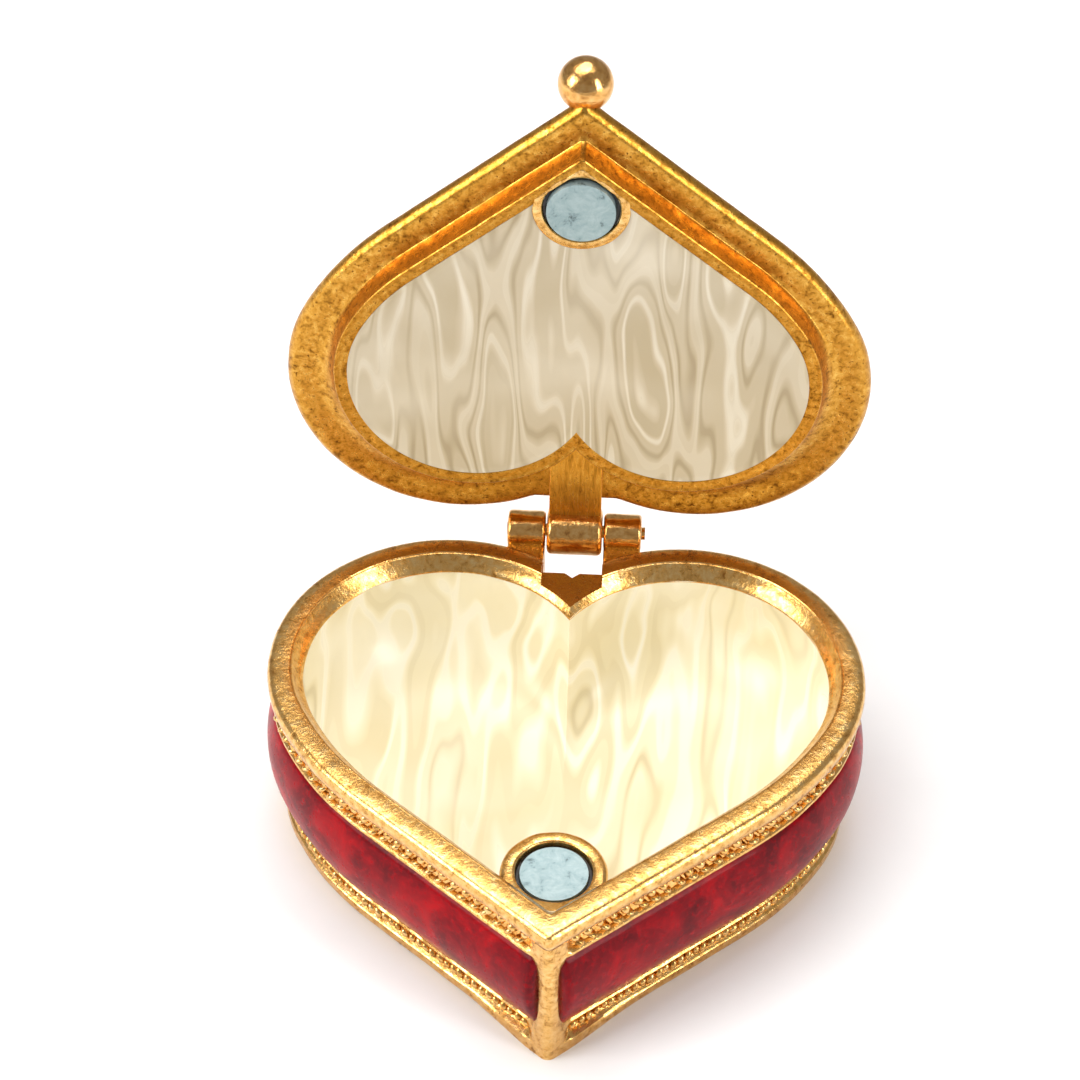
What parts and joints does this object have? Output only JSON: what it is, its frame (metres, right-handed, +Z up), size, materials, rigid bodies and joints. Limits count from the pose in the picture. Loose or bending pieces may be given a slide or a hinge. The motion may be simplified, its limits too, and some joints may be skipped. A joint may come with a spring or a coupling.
{
  "type": "heart-shaped hinged trinket box",
  "caption": "Heart-shaped gilt metal trinket box with red enamel sides, a pearl lining, a hinged lid with a ball lift, and a magnetic catch.",
  "frame": {"origin": "middle of the flat underside, halfway between the tip and the tops of the lobes", "axes": "+Z up; -Y towards the heart's tip, which is the front; +Y towards the hinge; +X to the right seen from the front"},
  "size_m": [0.055, 0.0566, 0.0692],
  "materials": {
    "cast_gilt": "satin",
    "polished_gilt": "polished",
    "red_enamel": "gloss",
    "pearl_enamel": "pearl",
    "nickel": "satin",
    "glue": "gloss"
  },
  "bodies": {
    "base": {"base_shell": "cast_gilt", "base_enamel_left": "red_enamel", "base_enamel_right": "red_enamel", "base_lining": "pearl_enamel", "base_magnet": "nickel", "base_magnet_glue": "glue", "hinge_bracket_left": "polished_gilt", "hinge_bracket_right": "polished_gilt", "hinge_pin": "polished_gilt"},
    "lid": {"lid_shell": "cast_gilt", "lid_enamel": "red_enamel", "lid_lining": "pearl_enamel", "lid_magnet": "nickel", "lid_magnet_glue": "glue", "lid_hinge_leaf": "polished_gilt", "lid_ball": "polished_gilt"}
  },
  "joints": [
    {"name": "lid_hinge", "type": "hinge", "parent": "base", "child": "lid", "pos_m": [0, 0.0254, 0.0177], "axis": [1, 0, 0], "range_deg": [0, 91.2]}
  ]
}
